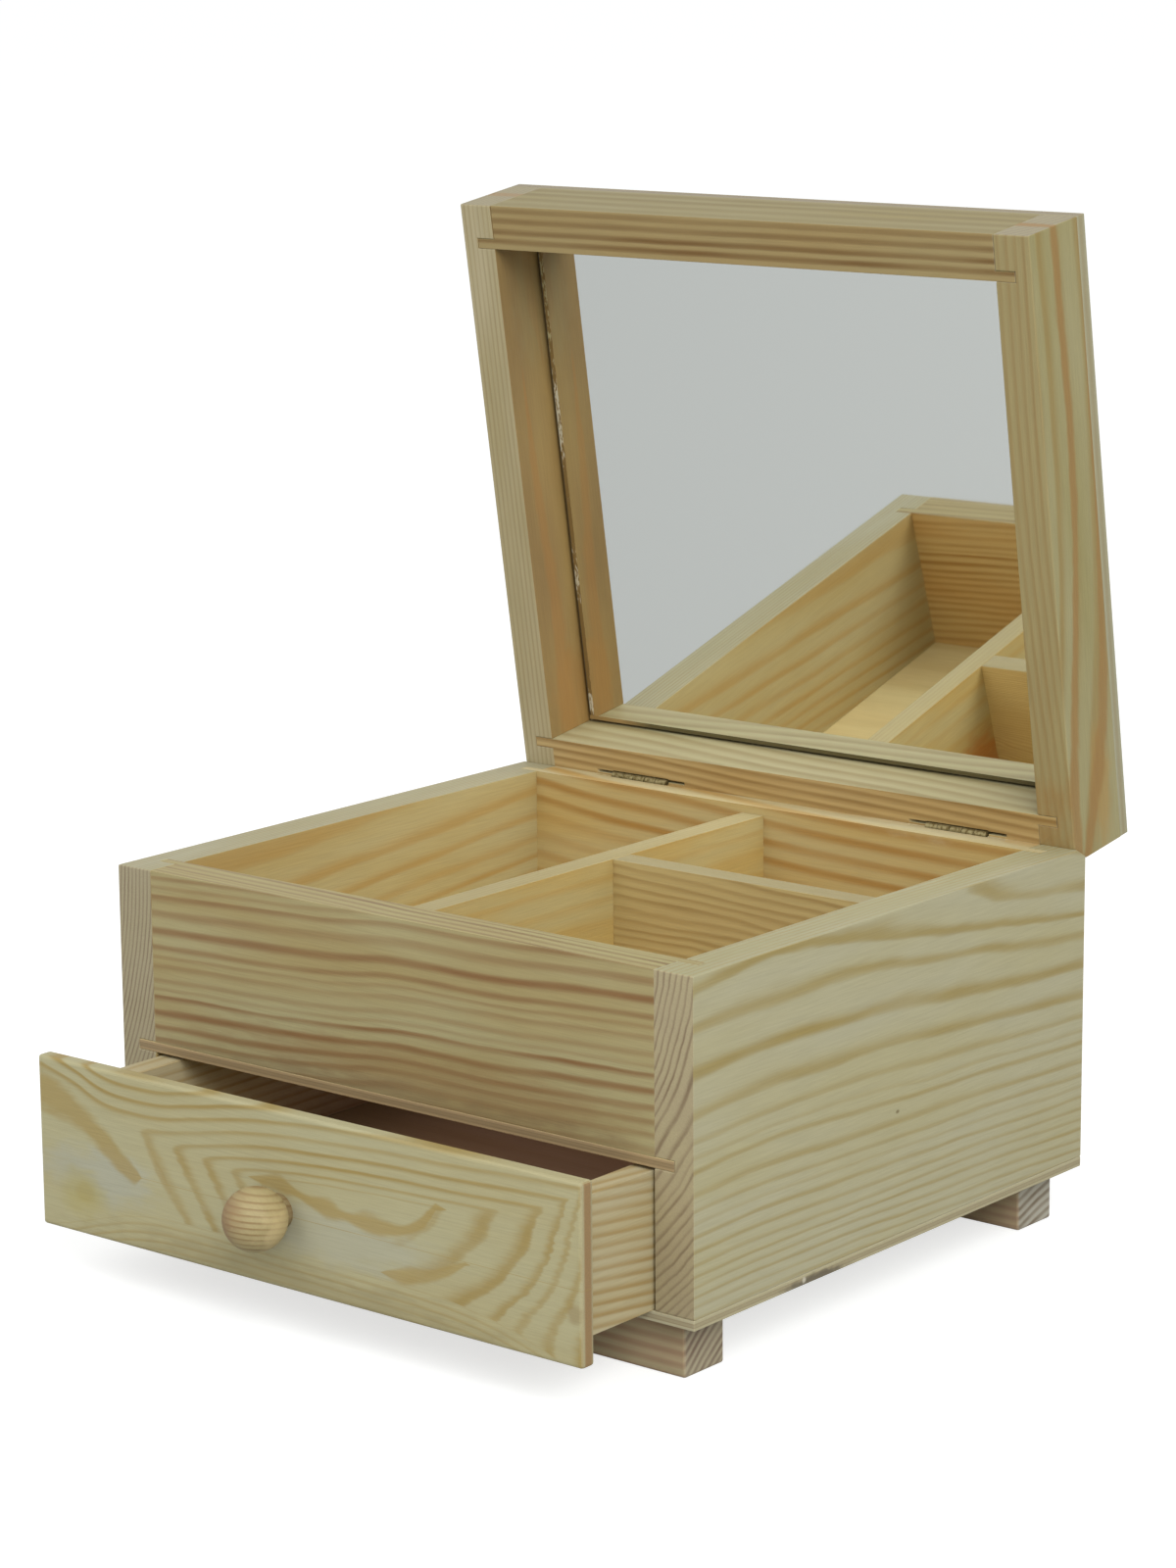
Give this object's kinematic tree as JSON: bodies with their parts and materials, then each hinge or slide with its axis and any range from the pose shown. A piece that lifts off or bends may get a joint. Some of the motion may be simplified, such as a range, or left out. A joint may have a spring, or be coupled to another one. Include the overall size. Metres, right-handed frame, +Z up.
{
  "type": "vanity box with mirror and drawer",
  "caption": "Raw pine vanity box with a divided tray, a hinged lid that holds a mirror, and one drawer with a turned knob, on two runners.",
  "frame": {"origin": "bottom centre of the whole object as stored: lid open, drawer pulled out by 34.5 mm; the ground is at the undersides of the runners", "axes": "+X to the right, +Y to the back, where the hinges are, +Z up"},
  "size_m": [0.21, 0.2684, 0.2963],
  "materials": {
    "pine": "raw planed pine with brown latewood bands",
    "pale_pine": "raw flat-sawn pine with soft yellow bands",
    "pine_sheet": "thin sheet with a pine face",
    "hinge_steel": "nickel-plated, dull",
    "screw_steel": "zinc-plated",
    "mirror_glass": "silvered float glass",
    "foam_tape": "closed-cell foam tape"
  },
  "bodies": {
    "box": {"left_side": "pine", "right_side": "pine", "front_board": "pine", "rear_board": "pine", "tray_floor": "pine_sheet", "bottom_panel": "pine_sheet", "front_foot": "pine", "rear_foot": "pine", "long_divider": "pale_pine", "cross_divider": "pale_pine", "left_hinge_box_leaf": "hinge_steel", "right_hinge_box_leaf": "hinge_steel", "left_hinge_pin": "hinge_steel", "right_hinge_pin": "hinge_steel"},
    "lid": {"lid_left_rail": "pine", "lid_right_rail": "pine", "lid_front_rail": "pine", "lid_rear_rail": "pine", "lid_panel": "pine_sheet", "mirror": "mirror_glass", "mirror_tape": "foam_tape", "left_hinge_lid_leaf": "hinge_steel", "right_hinge_lid_leaf": "hinge_steel"},
    "drawer": {"drawer_front": "pale_pine", "drawer_inner_front": "pine", "drawer_left_side": "pine", "drawer_right_side": "pine", "drawer_back": "pine", "drawer_bottom": "pine_sheet", "knob": "pale_pine", "knob_screw": "screw_steel"}
  },
  "joints": [
    {"name": "lid_hinge", "type": "hinge", "parent": "box", "child": "lid", "pos_m": [0, 0.10527, 0.1126], "axis": [-1, 0, 0], "range_deg": [-81, 0]},
    {"name": "drawer_slide", "type": "slide", "parent": "box", "child": "drawer", "axis": [0, -1, 0], "range_m": [-0.0345, 0.0805]}
  ]
}
